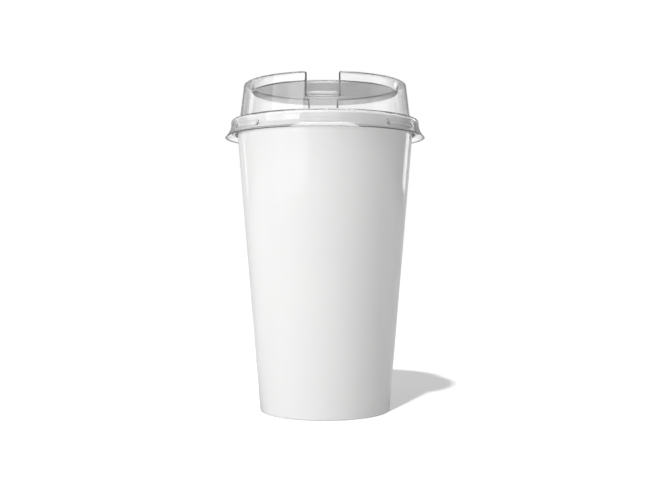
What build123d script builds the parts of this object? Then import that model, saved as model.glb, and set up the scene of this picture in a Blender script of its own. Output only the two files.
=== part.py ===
from build123d import *
from math import radians, sqrt, tan
import os

# A disposable drinks cup of white plastic with a clear lid pressed over its rim.
# Millimetres, +Z up, front towards -Y. The origin is the centre of the foot ring's underside.

# Cup: one white moulding, thin walled, with its rim turned out and down
rim_diameter = 90.0      # over the turned-down lip
cup_height = 141.1
base_diameter = 63.6
cup_wall = 0.8
lip_drop = 6.4           # how far the lip hangs down outside the wall
lip_gap = 0.7            # room between the lip and the wall at the rim
lip_round = 1.2          # outer rounding over the rim
lip_edge_round = 0.25    # rounding of the lip's lower edge and of the mouth's inner edge
foot_width = 2.0         # foot ring that the cup stands on
foot_round = 0.8
base_recess = 3.0        # how far the base is set up inside the foot ring
floor_thickness = 1.0
floor_round = 2.0        # inside corner between wall and floor

# Lid: one clear sheet moulding
lid_wall = 0.6
seat_gap = 0.1           # between the rim's top and the shoulder that lies on it
snap_clearance = 0.55    # between the cup's lip and the skirt
skirt_height = 8.4       # from the shoulder's top to the tip of the flare
skirt_land = 1.8         # upright part of the skirt, above the flare
flare_reach = 2.9        # how far the flare's tip stands out from the skirt
shoulder_round = 0.6     # rounding inside the sheet, between skirt and shoulder
crown_gap = 0.65         # between the mouth of the cup and the foot of the crown
crown_height = 17.8      # raised ring, from the shoulder's top to the lid's top
crown_draft = 7.1        # degrees
crown_round = 0.4        # rounding inside the sheet, along the crown's top and round the notches
crown_foot_round = 0.5   # rounding where the crown rises from the shoulder
ring_width = 3.9         # flat top of the crown
panel_drop = 3.5         # how far the round panel lies below the crown's top
panel_draft = 8.0        # degrees, on the wall round the panel
panel_round = 0.15       # rounding at the foot of that wall

# Two notches pressed into the crown, front and back, in line with each other
notch_width = 14.6
notch_depth = 11.3       # from the crown's top to the notch's floor
notch_shift = -1.0       # the pair stands a little to the left of the centre
notch_floor_round = 1.0

# Grip dimples pressed into the skirt
dimple_count = 7
dimple_turn = -1.5       # degrees, from the front
dimple_sweep = 21.0      # degrees of the skirt that one dimple takes
dimple_height = 1.6
dimple_drop = 4.7        # from the shoulder's top to the dimple's middle
dimple_clearance = 0.3   # between a dimple and the cup's lip

os.makedirs("parts", exist_ok=True)

# Levels and radii that the two pieces share
rim_radius = rim_diameter / 2
lip_inner_radius = rim_radius - cup_wall
mouth_outer_radius = lip_inner_radius - lip_gap
mouth_radius = mouth_outer_radius - cup_wall
shoulder_top = cup_height + seat_gap + lid_wall
skirt_radius = rim_radius + snap_clearance + lid_wall
lid_top = shoulder_top + crown_height
panel_top = lid_top - panel_drop


def cup_outside(z):
    """Radius of the cup's tapered wall, outside, at a height."""
    base_radius = base_diameter / 2
    return base_radius + (mouth_outer_radius - base_radius) * z / cup_height


def crown_outside(z):
    """Radius of the crown's drafted wall, outside, at a height."""
    return mouth_radius - crown_gap - tan(radians(crown_draft)) * (z - shoulder_top)


def panel_wall(z):
    """Radius of the drafted wall round the sunk panel, on its upper side, at a height."""
    return crown_outside(lid_top) - ring_width - tan(radians(panel_draft)) * (lid_top - z)


# The cup: its section, from the foot ring round the outside, over the rim and down the inside
floor_top = base_recess + floor_thickness
web_underside = cup_height - cup_wall
lip_bottom = cup_height - lip_drop
foot_inner_radius = base_diameter / 2 - foot_width
foot_outer = (base_diameter / 2, 0)
under_rim = (cup_outside(web_underside), web_underside)
lip_root = (lip_inner_radius, web_underside)
lip_inner_edge = (lip_inner_radius, lip_bottom)
lip_outer_edge = (rim_radius, lip_bottom)
rim_outer = (rim_radius, cup_height)
rim_inner = (mouth_radius, cup_height)
floor_corner = (cup_outside(floor_top) - cup_wall, floor_top)
recess_corner = (foot_inner_radius, base_recess)

with BuildPart() as cup:
    with BuildSketch(Plane.XZ) as cup_section:
        with BuildLine():
            Polyline(
                (foot_inner_radius, 0),
                foot_outer,
                under_rim,
                lip_root,
                lip_inner_edge,
                lip_outer_edge,
                rim_outer,
                rim_inner,
                floor_corner,
                (0, floor_top),
                (0, base_recess),
                recess_corner,
                close=True,
            )
        make_face()
        roundings = (
            (foot_outer, foot_round),
            (lip_inner_edge, lip_edge_round),
            (lip_outer_edge, lip_edge_round),
            (rim_outer, lip_round),
            (rim_inner, lip_edge_round),
            (floor_corner, floor_round),
            (recess_corner, foot_round),
        )
        for corner, radius in roundings:
            fillet(cup_section.vertices().sort_by_distance(corner)[0], radius)
    revolve(axis=Axis.Z)

cup.part.label = "cup"
export_step(cup.part, "parts/cup.step")


def notch_cutter(inset):
    """Both notches as one straight cut across the crown, grown by the inset on every side.

    Below the sunk panel it stops at the round wall that holds the panel up.
    """
    floor = lid_top - notch_depth - inset
    width = notch_width + 2 * inset
    with BuildPart() as cutter:
        with BuildSketch(Plane.XZ) as outline:
            with Locations((notch_shift, floor)):
                Rectangle(width, 2 * notch_depth, align=(Align.CENTER, Align.MIN))
            for side in (-1, 1):
                foot = (notch_shift + side * width / 2, floor)
                fillet(outline.vertices().sort_by_distance(foot)[0], notch_floor_round + inset)
        extrude(amount=skirt_radius, both=True)
        with Locations((0, 0, panel_top - inset)):
            Cylinder(
                panel_wall(panel_top) + lid_wall - inset,
                2 * notch_depth,
                align=(Align.CENTER, Align.CENTER, Align.MAX),
                mode=Mode.SUBTRACT,
            )
    return cutter.part


def dimple_cutter(inset):
    """One dimple at the front of the skirt, with a floor concentric with the cup's lip."""
    floor_radius = rim_radius + dimple_clearance + lid_wall - inset
    length = 2 * skirt_radius * tan(radians(dimple_sweep / 2))
    with BuildPart() as cutter:
        with BuildSketch(Plane.XZ):
            with Locations((0, shoulder_top - dimple_drop)):
                SlotOverall(length + 2 * inset, dimple_height + 2 * inset)
        extrude(amount=skirt_radius + 2 * flare_reach)
        Cylinder(floor_radius, 4 * lid_top, mode=Mode.SUBTRACT)
    return cutter.part


def lid_form(inset):
    """The lid's outside as a full solid, or the same drawn in by the inset for its inside."""
    drop = skirt_height - skirt_land
    flare_radius = (flare_reach**2 + drop**2) / (2 * flare_reach)
    flare_tip = skirt_radius + flare_radius - sqrt((flare_radius + inset) ** 2 - (drop + inset) ** 2)
    band = skirt_radius - inset
    band_foot = shoulder_top - skirt_land
    shoulder = shoulder_top - inset
    brim = lid_top - inset
    panel = panel_top - inset
    notch_floor = brim - notch_depth
    shoulder_corner = (band, shoulder)
    crown_foot = (crown_outside(shoulder) - inset, shoulder)
    crown_edge = (crown_outside(brim) - inset, brim)
    ring_edge = (panel_wall(lid_top) + inset, brim)
    panel_corner = (panel_wall(panel_top) + inset, panel)
    with BuildPart() as form:
        with BuildSketch(Plane.XZ) as section:
            with BuildLine():
                TangentArc((band, band_foot), (flare_tip, band_foot - drop - inset), tangent=(0, -1))
                Polyline(
                    (flare_tip, band_foot - drop - inset),
                    (0, band_foot - drop - inset),
                    (0, panel),
                    panel_corner,
                    ring_edge,
                    crown_edge,
                    crown_foot,
                    shoulder_corner,
                    (band, band_foot),
                )
            make_face()
            outward = lid_wall - inset
            roundings = (
                (shoulder_corner, shoulder_round + outward),
                (crown_foot, crown_foot_round + inset),
                (panel_corner, panel_round + inset),
            )
            for corner, radius in roundings:
                fillet(section.vertices().sort_by_distance(corner)[0], radius)
        revolve(axis=Axis.Z)
        add(notch_cutter(inset), mode=Mode.SUBTRACT)
        crown_wall = form.faces().filter_by(GeomType.CONE).sort_by(SortBy.AREA)[-1]
        notch_rims = crown_wall.edges().filter_by_position(Axis.Z, notch_floor - 0.01, brim - 0.01)
        top_edges = form.edges().filter_by_position(Axis.Z, brim - 0.01, brim + 0.01)
        fillet(notch_rims.filter_by(GeomType.LINE, reverse=True) + top_edges, crown_round + outward)
        with PolarLocations(0, dimple_count, start_angle=dimple_turn):
            add(dimple_cutter(inset), mode=Mode.SUBTRACT)
    return form.part


with BuildPart() as lid:
    add(lid_form(0))
    add(lid_form(lid_wall), mode=Mode.SUBTRACT)

lid.part.label = "lid"
export_step(lid.part, "parts/lid.step")
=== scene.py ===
import math

import bmesh
import bpy
from mathutils import Matrix


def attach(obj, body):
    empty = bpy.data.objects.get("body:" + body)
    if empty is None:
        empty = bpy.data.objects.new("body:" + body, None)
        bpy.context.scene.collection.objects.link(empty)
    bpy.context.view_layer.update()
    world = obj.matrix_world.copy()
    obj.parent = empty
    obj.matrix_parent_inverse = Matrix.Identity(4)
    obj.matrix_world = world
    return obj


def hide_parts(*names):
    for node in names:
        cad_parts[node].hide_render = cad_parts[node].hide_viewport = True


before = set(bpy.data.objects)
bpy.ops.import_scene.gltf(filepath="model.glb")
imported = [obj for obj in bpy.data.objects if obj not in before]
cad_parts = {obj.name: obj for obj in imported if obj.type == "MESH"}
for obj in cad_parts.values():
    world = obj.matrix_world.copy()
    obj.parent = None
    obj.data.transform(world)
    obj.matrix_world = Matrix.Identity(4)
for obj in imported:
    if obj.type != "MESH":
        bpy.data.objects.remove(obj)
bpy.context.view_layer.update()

# The cup: a tall tapered drinks cup, injection moulded in one piece from opaque white polypropylene.
# Its base is set up inside a foot ring, and its rim is turned out and down into a stiff lip. Its sizes are
# in millimetres.
cup_height = 141.1
cup_wall = 0.8
rim_radius = 45.0
rim_round = 1.2
lip_drop = 6.4
lip_gap = 0.7
lip_root_round = 0.2
edge_round = 0.25
base_radius = 31.8
foot_width = 2.0
foot_round = 0.8
recess_height = 3.0
floor_thickness = 1.0
floor_round = 2.0
lip_inner_radius = rim_radius - cup_wall
mouth_outer_radius = lip_inner_radius - lip_gap
mouth_radius = mouth_outer_radius - cup_wall
foot_inner_radius = base_radius - foot_width
web_underside = cup_height - cup_wall
lip_bottom = cup_height - lip_drop
floor_top = recess_height + floor_thickness
cup_taper = (mouth_outer_radius - base_radius) / cup_height


def rounded_wire(corners):
    """An open wire in the XZ plane through corners (x, z, rounding radius), in millimetres."""
    bm = bmesh.new()
    points = [bm.verts.new((x, 0, z)) for x, z, radius in corners]
    for start, end in zip(points, points[1:]):
        bm.edges.new((start, end))
    roundings = []
    for index, (x, z, radius) in enumerate(corners):
        if radius:
            before = points[index - 1].co - points[index].co
            after = points[index + 1].co - points[index].co
            turn = math.pi - before.angle(after)
            roundings.append((points[index], radius * math.tan(turn / 2), turn))
    arc_step = math.radians(9)
    for point, reach, turn in roundings:
        bmesh.ops.bevel(
            bm,
            geom=[point],
            offset=reach,
            offset_type="OFFSET",
            segments=max(4, round(turn / arc_step)),
            profile=0.5,
            affect="VERTICES",
            material=-1,
        )
    return bm


def turn_round(bm):
    """Turns the wire once round the cup's axis into a closed skin."""
    bmesh.ops.spin(
        bm,
        geom=bm.verts[:] + bm.edges[:],
        cent=(0, 0, 0),
        axis=(0, 0, 1),
        angle=math.tau,
        steps=360,
        use_merge=True,
    )
    bmesh.ops.remove_doubles(bm, verts=bm.verts[:], dist=1e-4)
    bmesh.ops.recalc_face_normals(bm, faces=bm.faces[:])


def make_object(bm, name):
    """The millimetre mesh as an object in metres, smooth shaded."""
    bmesh.ops.scale(bm, vec=(0.001, 0.001, 0.001), verts=bm.verts[:])
    for face in bm.faces:
        face.smooth = True
    mesh = bpy.data.meshes.new(name)
    bm.to_mesh(mesh)
    bm.free()
    piece = bpy.data.objects.new(name, mesh)
    bpy.context.scene.collection.objects.link(piece)
    return piece


def even_shading(piece, angle):
    """Sharp edges stay sharp, and flat faces keep their own normals beside small roundings."""
    piece.data.set_sharp_from_angle(angle=math.radians(angle))
    weighting = piece.modifiers.new("even_shading", "WEIGHTED_NORMAL")
    weighting.mode = "FACE_AREA"
    weighting.weight = 50
    weighting.keep_sharp = True


def srgb(code):
    """A linear RGBA colour from an sRGB hex code."""
    channels = [int(code[i:i + 2], 16) / 255 for i in (1, 3, 5)]
    linear = [c / 12.92 if c <= 0.04045 else ((c + 0.055) / 1.055) ** 2.4 for c in channels]
    return (*linear, 1.0)


def add_node(tree, kind, settings=None, values=None, links=None):
    """Adds a node with its settings, its input values and its links from other nodes' sockets."""
    node = tree.nodes.new(kind)
    for key, value in (settings or {}).items():
        setattr(node, key, value)
    for key, value in (values or {}).items():
        node.inputs[key].default_value = value
    for key, socket in (links or {}).items():
        tree.links.new(socket, node.inputs[key])
    return node


def blank_material(name):
    """A material with an empty node tree."""
    material = bpy.data.materials.new(name)
    material.use_nodes = True
    material.node_tree.nodes.clear()
    return material


cup_bm = rounded_wire([
    (0, recess_height, 0),
    (foot_inner_radius, recess_height, foot_round),
    (foot_inner_radius, 0, edge_round),
    (base_radius, 0, foot_round),
    (base_radius + cup_taper * web_underside, web_underside, 0),
    (lip_inner_radius, web_underside, lip_root_round),
    (lip_inner_radius, lip_bottom, edge_round),
    (rim_radius, lip_bottom, edge_round),
    (rim_radius, cup_height, rim_round),
    (mouth_radius, cup_height, edge_round),
    (base_radius + cup_taper * floor_top - cup_wall, floor_top, floor_round),
    (0, floor_top, 0),
])
turn_round(cup_bm)
cup = make_object(cup_bm, "cup_body")
even_shading(cup, angle=40)

# Polypropylene, moulded against a polished tool: milky white with a soft gloss, clouded over about 30 mm,
# and a faint waviness about 12 mm wide where the wall has shrunk.
cloud_size = 0.030
wave_size = 0.012
white_pp = blank_material("white_polypropylene")
tree = white_pp.node_tree
place = add_node(tree, "ShaderNodeTexCoord")
cloud = add_node(
    tree, "ShaderNodeTexNoise",
    values={"Scale": 1 / cloud_size, "Detail": 3.0, "Roughness": 0.5},
    links={"Vector": place.outputs["Object"]},
)
white = add_node(
    tree, "ShaderNodeMix",
    settings={"data_type": "RGBA"},
    values={"A": srgb("#EFEFEF"), "B": srgb("#F3F3F2")},
    links={"Factor": cloud.outputs["Fac"]},
)
gloss = add_node(
    tree, "ShaderNodeMapRange",
    values={"To Min": 0.05, "To Max": 0.09},
    links={"Value": cloud.outputs["Fac"]},
)
shrinkage = add_node(
    tree, "ShaderNodeTexNoise",
    values={"Scale": 1 / wave_size, "Detail": 2.0},
    links={"Vector": place.outputs["Object"]},
)
wave = add_node(
    tree, "ShaderNodeBump",
    values={"Strength": 0.05, "Distance": 0.0002},
    links={"Height": shrinkage.outputs["Fac"]},
)
surface = add_node(
    tree, "ShaderNodeBsdfPrincipled",
    values={"IOR": 1.49},
    links={
        "Base Color": white.outputs["Result"],
        "Roughness": gloss.outputs["Result"],
        "Normal": wave.outputs["Normal"],
    },
)
add_node(tree, "ShaderNodeOutputMaterial", links={"Surface": surface.outputs["BSDF"]})
cup.data.materials.append(white_pp)

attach(cup, "cup")
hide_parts("cup")

# The lid: one clear sheet of PET, 0.6 mm thick, heated and drawn over a form. Its shoulder lies on the
# cup's rim, its flared skirt grips the lip with seven dimples, and its crown is a raised ring round a
# sunk panel, with a finger notch at the front and one at the back. The CAD shape stays as it is.
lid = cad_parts["lid"]

# PET sheet, formed hot: clear and glossy, with a faint swirl about 15 mm wide where the sheet was stretched.
# A dark grey is painted into its colour along the notches' sides and the skirt's trimmed edge: painted shade
# standing in for the dark lines that the sheet's bends draw there by refraction.
# These places are in metres.
swirl_size = 0.015
notch_shift = -0.001
notch_half_width = 0.0073
shade_band_half_width = 0.0007
crown_inner_radius = 0.0375
notch_floor = 0.1480
trimmed_top = 0.1337
clear_pet = blank_material("clear_pet_sheet")
tree = clear_pet.node_tree
place = add_node(tree, "ShaderNodeTexCoord")
stretch = add_node(
    tree, "ShaderNodeTexNoise",
    values={"Scale": 1 / swirl_size, "Detail": 2.0},
    links={"Vector": place.outputs["Object"]},
)
haze = add_node(
    tree, "ShaderNodeMapRange",
    values={"To Min": 0.0, "To Max": 0.012},
    links={"Value": stretch.outputs["Fac"]},
)
ripple = add_node(
    tree, "ShaderNodeBump",
    values={"Strength": 0.02, "Distance": 0.0002},
    links={"Height": stretch.outputs["Fac"]},
)
axes = add_node(tree, "ShaderNodeSeparateXYZ", links={"Vector": place.outputs["Object"]})
across = add_node(
    tree, "ShaderNodeMath",
    settings={"operation": "SUBTRACT"},
    values={1: notch_shift},
    links={0: axes.outputs["X"]},
)
across = add_node(
    tree, "ShaderNodeMath",
    settings={"operation": "ABSOLUTE"},
    links={0: across.outputs["Value"]},
)
# Painted shade: a narrow band along each side of the notches.
notch_side_band = add_node(
    tree, "ShaderNodeMath",
    settings={"operation": "COMPARE"},
    values={1: notch_half_width, 2: shade_band_half_width},
    links={0: across.outputs["Value"]},
)
outer = add_node(
    tree, "ShaderNodeMath",
    settings={"operation": "ABSOLUTE"},
    links={0: axes.outputs["Y"]},
)
outer = add_node(
    tree, "ShaderNodeMath",
    settings={"operation": "GREATER_THAN"},
    values={1: crown_inner_radius},
    links={0: outer.outputs["Value"]},
)
raised = add_node(
    tree, "ShaderNodeMath",
    settings={"operation": "GREATER_THAN"},
    values={1: notch_floor},
    links={0: axes.outputs["Z"]},
)
# The painted shade at the notch sides lies only on the raised crown outside the panel, above the notch
# floor.
painted_notch_shade = add_node(
    tree, "ShaderNodeMath",
    settings={"operation": "MULTIPLY"},
    links={0: notch_side_band.outputs["Value"], 1: outer.outputs["Value"]},
)
painted_notch_shade = add_node(
    tree, "ShaderNodeMath",
    settings={"operation": "MULTIPLY"},
    links={0: painted_notch_shade.outputs["Value"], 1: raised.outputs["Value"]},
)
# Painted shade along the skirt's trimmed edge, below trimmed_top.
trimmed = add_node(
    tree, "ShaderNodeMath",
    settings={"operation": "LESS_THAN"},
    values={1: trimmed_top},
    links={0: axes.outputs["Z"]},
)
# Both bands of painted shade together.
painted_edge_shade = add_node(
    tree, "ShaderNodeMath",
    settings={"operation": "MAXIMUM"},
    links={0: painted_notch_shade.outputs["Value"], 1: trimmed.outputs["Value"]},
)
# The painted shade mixes dark grey into the clear sheet's colour.
clear = add_node(
    tree, "ShaderNodeMix",
    settings={"data_type": "RGBA"},
    values={"A": srgb("#FEFEFE"), "B": srgb("#6E6F6F")},
    links={"Factor": painted_edge_shade.outputs["Value"]},
)
surface = add_node(
    tree, "ShaderNodeBsdfPrincipled",
    values={"IOR": 1.575, "Transmission Weight": 1.0, "Coat Weight": 0.15},
    links={
        "Base Color": clear.outputs["Result"],
        "Roughness": haze.outputs["Result"],
        "Normal": ripple.outputs["Normal"],
    },
)
tint = add_node(
    tree, "ShaderNodeVolumeAbsorption",
    values={"Color": srgb("#000000"), "Density": 4.0},
)
add_node(
    tree, "ShaderNodeOutputMaterial",
    links={"Surface": surface.outputs["BSDF"], "Volume": tint.outputs["Volume"]},
)
for slot in lid.material_slots:
    slot.material = clear_pet

# The stage: a wide white sweep that the cup stands on. It looks white to the camera and through the lid,
# keeps the shadow of the one hard lamp, and is mirrored grey in front of the cup and paler behind it.


def stage_object(bm, name, material, unseen_by=()):
    """The mesh as an object of one material, left out of the kinds of ray that are named."""
    mesh = bpy.data.meshes.new(name)
    bm.to_mesh(mesh)
    bm.free()
    mesh.materials.append(material)
    card = bpy.data.objects.new(name, mesh)
    bpy.context.scene.collection.objects.link(card)
    for kind in unseen_by:
        setattr(card, "visible_" + kind, False)
    return card


sweep = blank_material("white_sweep")
tree = sweep.node_tree
ray = add_node(tree, "ShaderNodeLightPath")
seen = add_node(
    tree, "ShaderNodeMath",
    settings={"operation": "MAXIMUM"},
    links={0: ray.outputs["Is Camera Ray"], 1: ray.outputs["Is Transmission Ray"]},
)
lit = add_node(tree, "ShaderNodeBsdfDiffuse", values={"Color": (0.10, 0.10, 0.10, 1)})
own_strength = add_node(
    tree, "ShaderNodeMapRange",
    values={"To Min": 0.02, "To Max": 0.485},
    links={"Value": seen.outputs["Value"]},
)
own = add_node(
    tree, "ShaderNodeEmission",
    values={"Color": (1, 1, 1, 1)},
    links={"Strength": own_strength.outputs["Result"]},
)
both = add_node(tree, "ShaderNodeAddShader", links={0: lit.outputs["BSDF"], 1: own.outputs["Emission"]})
place = add_node(tree, "ShaderNodeTexCoord")
axes = add_node(tree, "ShaderNodeSeparateXYZ", links={"Vector": place.outputs["Object"]})
behind = add_node(
    tree, "ShaderNodeMapRange",
    values={"From Min": -0.01, "From Max": 0.08, "To Min": 0.25, "To Max": 0.6},
    links={"Value": axes.outputs["Y"]},
)
gleam = add_node(
    tree, "ShaderNodeEmission",
    values={"Color": (1, 1, 1, 1)},
    links={"Strength": behind.outputs["Result"]},
)
mirrored = add_node(
    tree, "ShaderNodeMath",
    settings={"operation": "SUBTRACT"},
    links={0: ray.outputs["Is Glossy Ray"], 1: ray.outputs["Is Transmission Ray"]},
)
shown = add_node(
    tree, "ShaderNodeMixShader",
    links={0: mirrored.outputs["Value"], 1: both.outputs["Shader"], 2: gleam.outputs["Emission"]},
)
add_node(tree, "ShaderNodeOutputMaterial", links={"Surface": shown.outputs["Shader"]})

floor_bm = bmesh.new()
bmesh.ops.create_circle(floor_bm, cap_ends=True, segments=64, radius=6.0)
stage_floor = stage_object(floor_bm, "stage_floor", sweep)

# A low dark edge all round the stage, seen only through the lid: the underside of the lid's panel mirrors
# it. Its upper part is a dim grey.
edge_radius = 0.7
edge_height = 0.062
felt = blank_material("black_felt")
tree = felt.node_tree
place = add_node(tree, "ShaderNodeTexCoord")
axes = add_node(tree, "ShaderNodeSeparateXYZ", links={"Vector": place.outputs["Object"]})
rise = add_node(
    tree, "ShaderNodeMapRange",
    values={"From Min": 0.040, "From Max": 0.046, "To Min": 0.0, "To Max": 0.32},
    links={"Value": axes.outputs["Z"]},
)
lit = add_node(tree, "ShaderNodeEmission", links={"Strength": rise.outputs["Result"]})
add_node(tree, "ShaderNodeOutputMaterial", links={"Surface": lit.outputs["Emission"]})

edge_bm = bmesh.new()
for z in (0.0, edge_height):
    level = Matrix.Translation((0, 0, z))
    bmesh.ops.create_circle(edge_bm, segments=96, radius=edge_radius, matrix=level)
bmesh.ops.bridge_loops(edge_bm, edges=edge_bm.edges[:])
stage_edge = stage_object(
    edge_bm, "stage_edge", felt,
    unseen_by=("camera", "diffuse", "glossy", "shadow"),
)

# The white room. The camera sees white. Through the lid the four walls are white, with grey corners and a
# dark ceiling. The plastic mirrors a dim room with a paler wall low down behind, and is lit a plain grey.
world = bpy.data.worlds.new("white_room")
bpy.context.scene.world = world
world.use_nodes = True
tree = world.node_tree
tree.nodes.clear()
ray = add_node(tree, "ShaderNodeLightPath")
heading = add_node(tree, "ShaderNodeTexCoord")
axes = add_node(tree, "ShaderNodeSeparateXYZ", links={"Vector": heading.outputs["Generated"]})
slant = add_node(
    tree, "ShaderNodeMath",
    settings={"operation": "MULTIPLY"},
    links={0: axes.outputs["X"], 1: axes.outputs["Y"]},
)
slant = add_node(
    tree, "ShaderNodeMath",
    settings={"operation": "ABSOLUTE"},
    links={0: slant.outputs["Value"]},
)
wall = add_node(
    tree, "ShaderNodeMapRange",
    values={"From Min": 0.20, "From Max": 0.34, "To Min": 1.0, "To Max": 0.2},
    links={"Value": slant.outputs["Value"]},
)
ceiling = add_node(
    tree, "ShaderNodeMapRange",
    values={"From Min": 0.45, "From Max": 0.60, "To Min": 1.0, "To Max": 0.0},
    links={"Value": axes.outputs["Z"]},
)
pane = add_node(
    tree, "ShaderNodeMath",
    settings={"operation": "MULTIPLY"},
    links={0: wall.outputs["Result"], 1: ceiling.outputs["Result"]},
)
window = add_node(
    tree, "ShaderNodeMapRange",
    values={"To Min": 0.05, "To Max": 1.0},
    links={"Value": pane.outputs["Value"]},
)
behind = add_node(
    tree, "ShaderNodeMapRange",
    values={"From Min": 0.5, "From Max": 0.9},
    links={"Value": axes.outputs["Y"]},
)
low = add_node(
    tree, "ShaderNodeMapRange",
    values={"From Min": 0.10, "From Max": 0.20, "To Min": 1.0, "To Max": 0.0},
    links={"Value": axes.outputs["Z"]},
)
low_behind = add_node(
    tree, "ShaderNodeMath",
    settings={"operation": "MULTIPLY"},
    links={0: behind.outputs["Result"], 1: low.outputs["Result"]},
)
gleam = add_node(
    tree, "ShaderNodeMapRange",
    values={"To Min": 0.12, "To Max": 0.6},
    links={"Value": low_behind.outputs["Value"]},
)
mirrored = add_node(
    tree, "ShaderNodeMix",
    settings={"data_type": "FLOAT"},
    values={"A": 0.31},
    links={"Factor": ray.outputs["Is Glossy Ray"], "B": gleam.outputs["Result"]},
)
through = add_node(
    tree, "ShaderNodeMix",
    settings={"data_type": "FLOAT"},
    links={
        "Factor": ray.outputs["Is Transmission Ray"],
        "A": mirrored.outputs["Result"],
        "B": window.outputs["Result"],
    },
)
shown = add_node(
    tree, "ShaderNodeMath",
    settings={"operation": "MAXIMUM"},
    links={0: ray.outputs["Is Camera Ray"], 1: through.outputs["Result"]},
)
room = add_node(
    tree, "ShaderNodeBackground",
    values={"Color": (1, 1, 1, 1)},
    links={"Strength": shown.outputs["Value"]},
)
add_node(tree, "ShaderNodeOutputWorld", links={"Surface": room.outputs["Background"]})

# The lamps. The main soft box stands at the front left; two strips stand behind, a low one on the right and
# a narrow one on the left. A fill behind lights the cup's back alone, and a wide lamp hangs overhead. Only
# the cup blocks them: their light goes through the clear lid.
opaque = bpy.data.collections.new("blocks_lamps")
opaque.objects.link(cup)


def soft_box(name, azimuth, distance, width, height, low, radiance, roll=0):
    """An upright rectangular lamp that faces the cup's axis. Azimuth is from the front, to the right."""
    lamp = bpy.data.lights.new(name, "AREA")
    lamp.shape = "RECTANGLE"
    lamp.size = width
    lamp.size_y = height
    lamp.energy = radiance * width * height * math.pi
    place = bpy.data.objects.new(name, lamp)
    turn = math.radians(azimuth)
    place.location = (distance * math.sin(turn), -distance * math.cos(turn), low + height / 2)
    place.rotation_euler = (math.radians(90), math.radians(roll), turn)
    place.visible_camera = False
    place.visible_transmission = False
    place.light_linking.blocker_collection = opaque
    bpy.context.scene.collection.objects.link(place)
    return place


lamp_roll = -15
front = soft_box(
    "front_soft_box",
    azimuth=-41.5, distance=1.2, width=1.12, height=1.2, low=-0.05, radiance=2.95, roll=lamp_roll,
)
front.visible_glossy = False
soft_box("right_strip", azimuth=136.5, distance=1.2, width=0.28, height=0.22, low=0.12, radiance=2.0)
soft_box("left_strip", azimuth=-132, distance=1.2, width=0.10, height=0.3, low=0.1, radiance=1.2)
fill = soft_box("back_fill", azimuth=180, distance=1.2, width=1.2, height=1.0, low=0.0, radiance=1.6)
fill.visible_glossy = False
fill.light_linking.receiver_collection = opaque
overhead = soft_box(
    "overhead_soft_box",
    azimuth=0, distance=0.0, width=1.0, height=1.0, low=1.1, radiance=5.0,
)
overhead.rotation_euler = (0, 0, 0)

# A silk card in front of the main soft box is what the plastic mirrors: bright along its right, dimmer to
# the left and at its foot.
card_half_width = 0.45
card_half_height = 0.72
card_turn = -51.4
silk = blank_material("white_silk")
tree = silk.node_tree
place = add_node(tree, "ShaderNodeTexCoord")
axes = add_node(tree, "ShaderNodeSeparateXYZ", links={"Vector": place.outputs["Object"]})
glow = add_node(
    tree, "ShaderNodeMapRange",
    values={"From Min": -0.03, "From Max": 0.10, "To Min": 2.0, "To Max": 3.5},
    links={"Value": axes.outputs["X"]},
)
fade = add_node(
    tree, "ShaderNodeMapRange",
    values={"From Min": -0.13, "From Max": 0.02, "To Min": 0.4, "To Max": 1.0},
    links={"Value": axes.outputs["Y"]},
)
glow = add_node(
    tree, "ShaderNodeMath",
    settings={"operation": "MULTIPLY"},
    links={0: glow.outputs["Result"], 1: fade.outputs["Result"]},
)
lit = add_node(tree, "ShaderNodeEmission", links={"Strength": glow.outputs["Value"]})
add_node(tree, "ShaderNodeOutputMaterial", links={"Surface": lit.outputs["Emission"]})

card_bm = bmesh.new()
bmesh.ops.create_grid(card_bm, x_segments=1, y_segments=1, size=1.0)
bmesh.ops.scale(card_bm, vec=(card_half_width, card_half_height, 1.0), verts=card_bm.verts[:])
front_card = stage_object(
    card_bm, "front_card", silk,
    unseen_by=("camera", "diffuse", "transmission", "shadow"),
)
front_card.location = (-0.844, -0.674, 0.48)
front_card.rotation_euler = (math.radians(90), math.radians(lamp_roll), math.radians(card_turn))

# One hard lamp, like the sun, draws the shadow to the right and back. Only the floor takes its light.
sun_height = 55
sun_turn = -17
sun = bpy.data.lights.new("shadow_lamp", "SUN")
sun.angle = math.radians(2.5)
sun.energy = 21.0
shadow_lamp = bpy.data.objects.new("shadow_lamp", sun)
shadow_lamp.rotation_euler = (math.radians(90 - sun_height), 0, math.radians(sun_turn))
bpy.context.scene.collection.objects.link(shadow_lamp)
floor_only = bpy.data.collections.new("takes_shadow_lamp")
floor_only.objects.link(stage_floor)
shadow_lamp.light_linking.receiver_collection = floor_only

# The camera stands in front, level with the middle of the cup, and looks straight ahead. Rays may pass the
# lid's many surfaces.
lens = bpy.data.cameras.new("camera")
lens.lens = 50
lens.sensor_width = 36
camera = bpy.data.objects.new("camera", lens)
camera.location = (0, -0.4465, 0.080)
camera.rotation_euler = (math.radians(90), 0, 0)
bpy.context.scene.collection.objects.link(camera)
bpy.context.scene.camera = camera

bpy.context.scene.view_settings.view_transform = "Standard"
bpy.context.scene.cycles.max_bounces = 32
bpy.context.scene.cycles.transmission_bounces = 32
bpy.context.scene.cycles.glossy_bounces = 32
bpy.context.scene.cycles.use_denoising = True
